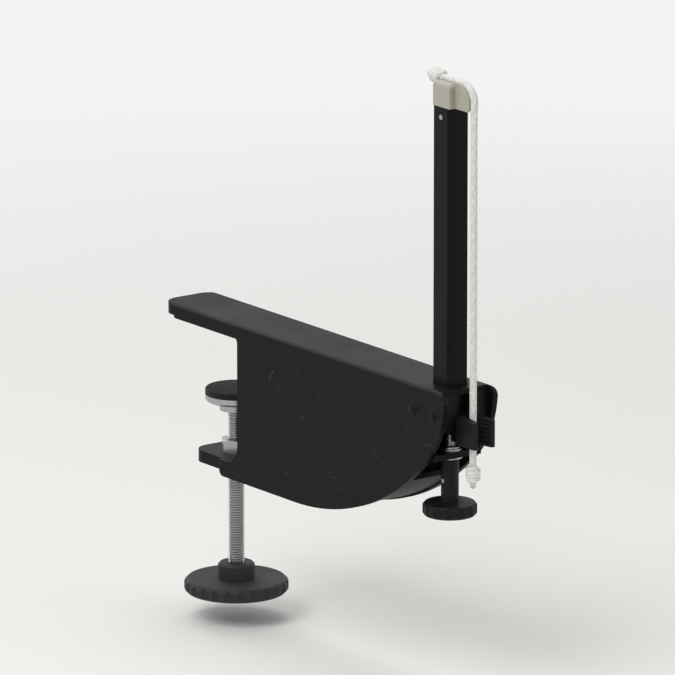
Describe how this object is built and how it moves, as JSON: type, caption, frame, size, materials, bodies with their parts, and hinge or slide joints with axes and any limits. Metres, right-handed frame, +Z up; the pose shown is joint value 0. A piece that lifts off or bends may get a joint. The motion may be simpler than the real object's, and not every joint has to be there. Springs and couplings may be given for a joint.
{
  "type": "table tennis net clamp",
  "caption": "Screw clamp that grips a table edge and carries a slotted square net post, with a threaded height adjuster and a cord cleat.",
  "frame": {"origin": "on the upper gripping face, which lies on the table top, where the clamp screw's axis meets it", "axes": "+Z up along the clamp screw and the post, +Y inboard over the table, -Y outboard towards the post, X across the thickness of the net"},
  "size_m": [0.0508, 0.24, 0.2918],
  "materials": {
    "black_steel": "satin powder coat",
    "post_black": "black anodised",
    "head_grey": "moulded, slightly glossy",
    "cord_white": "braided",
    "zinc_steel": "bright zinc plate",
    "brass": "turned",
    "pad_rubber": "matt",
    "nylon_black": "moulded",
    "knob_grey": "moulded, fine spark texture"
  },
  "bodies": {
    "frame": {"clamp_body": "black_steel", "throat_plate": "black_steel", "belly_strip": "black_steel", "lower_jaw": "black_steel", "jaw_nut": "zinc_steel", "jaw_pad": "pad_rubber", "post_guide": "nylon_black", "guide_rivets": "black_steel", "spindle_bridge": "black_steel"},
    "post": {"post_tube": "post_black", "post_head": "head_grey", "head_pin": "zinc_steel", "post_nut": "brass", "cord_cleat": "nylon_black", "tension_cord": "cord_white", "cord_knots": "cord_white"},
    "adjuster": {"adjust_spindle": "zinc_steel", "spindle_clip": "zinc_steel", "thrust_washers": "zinc_steel", "adjust_knob": "nylon_black", "adjust_pin": "zinc_steel"},
    "pressure": {"pressure_plate": "zinc_steel", "pressure_pad": "pad_rubber"},
    "screw": {"clamp_screw": "zinc_steel", "screw_clip": "zinc_steel", "clamp_knob": "knob_grey", "knob_insert": "brass"}
  },
  "joints": [
    {"name": "clamp_travel", "type": "slide", "parent": "frame", "child": "pressure", "axis": [0, 0, 1], "range_m": [-0.013, 0.0297]},
    {"name": "clamp_turn", "type": "hinge", "parent": "pressure", "child": "screw", "pos_m": [0, 0, -0.08], "axis": [0, 0, 1], "range_deg": [-3744.1, 8553.7]},
    {"name": "height_turn", "type": "hinge", "parent": "frame", "child": "adjuster", "pos_m": [0, -0.1725, -0.04], "axis": [0, 0, 1], "range_deg": [-1800.1, 1800.1]},
    {"name": "height_travel", "type": "slide", "parent": "frame", "child": "post", "axis": [0, 0, 1], "range_m": [-0.005, 0.005]}
  ],
  "couplings": [
    {"joint": "clamp_turn", "follows": "clamp_travel", "rad_per_m": 5026.5},
    {"joint": "height_turn", "follows": "height_travel", "rad_per_m": -6283.2}
  ]
}
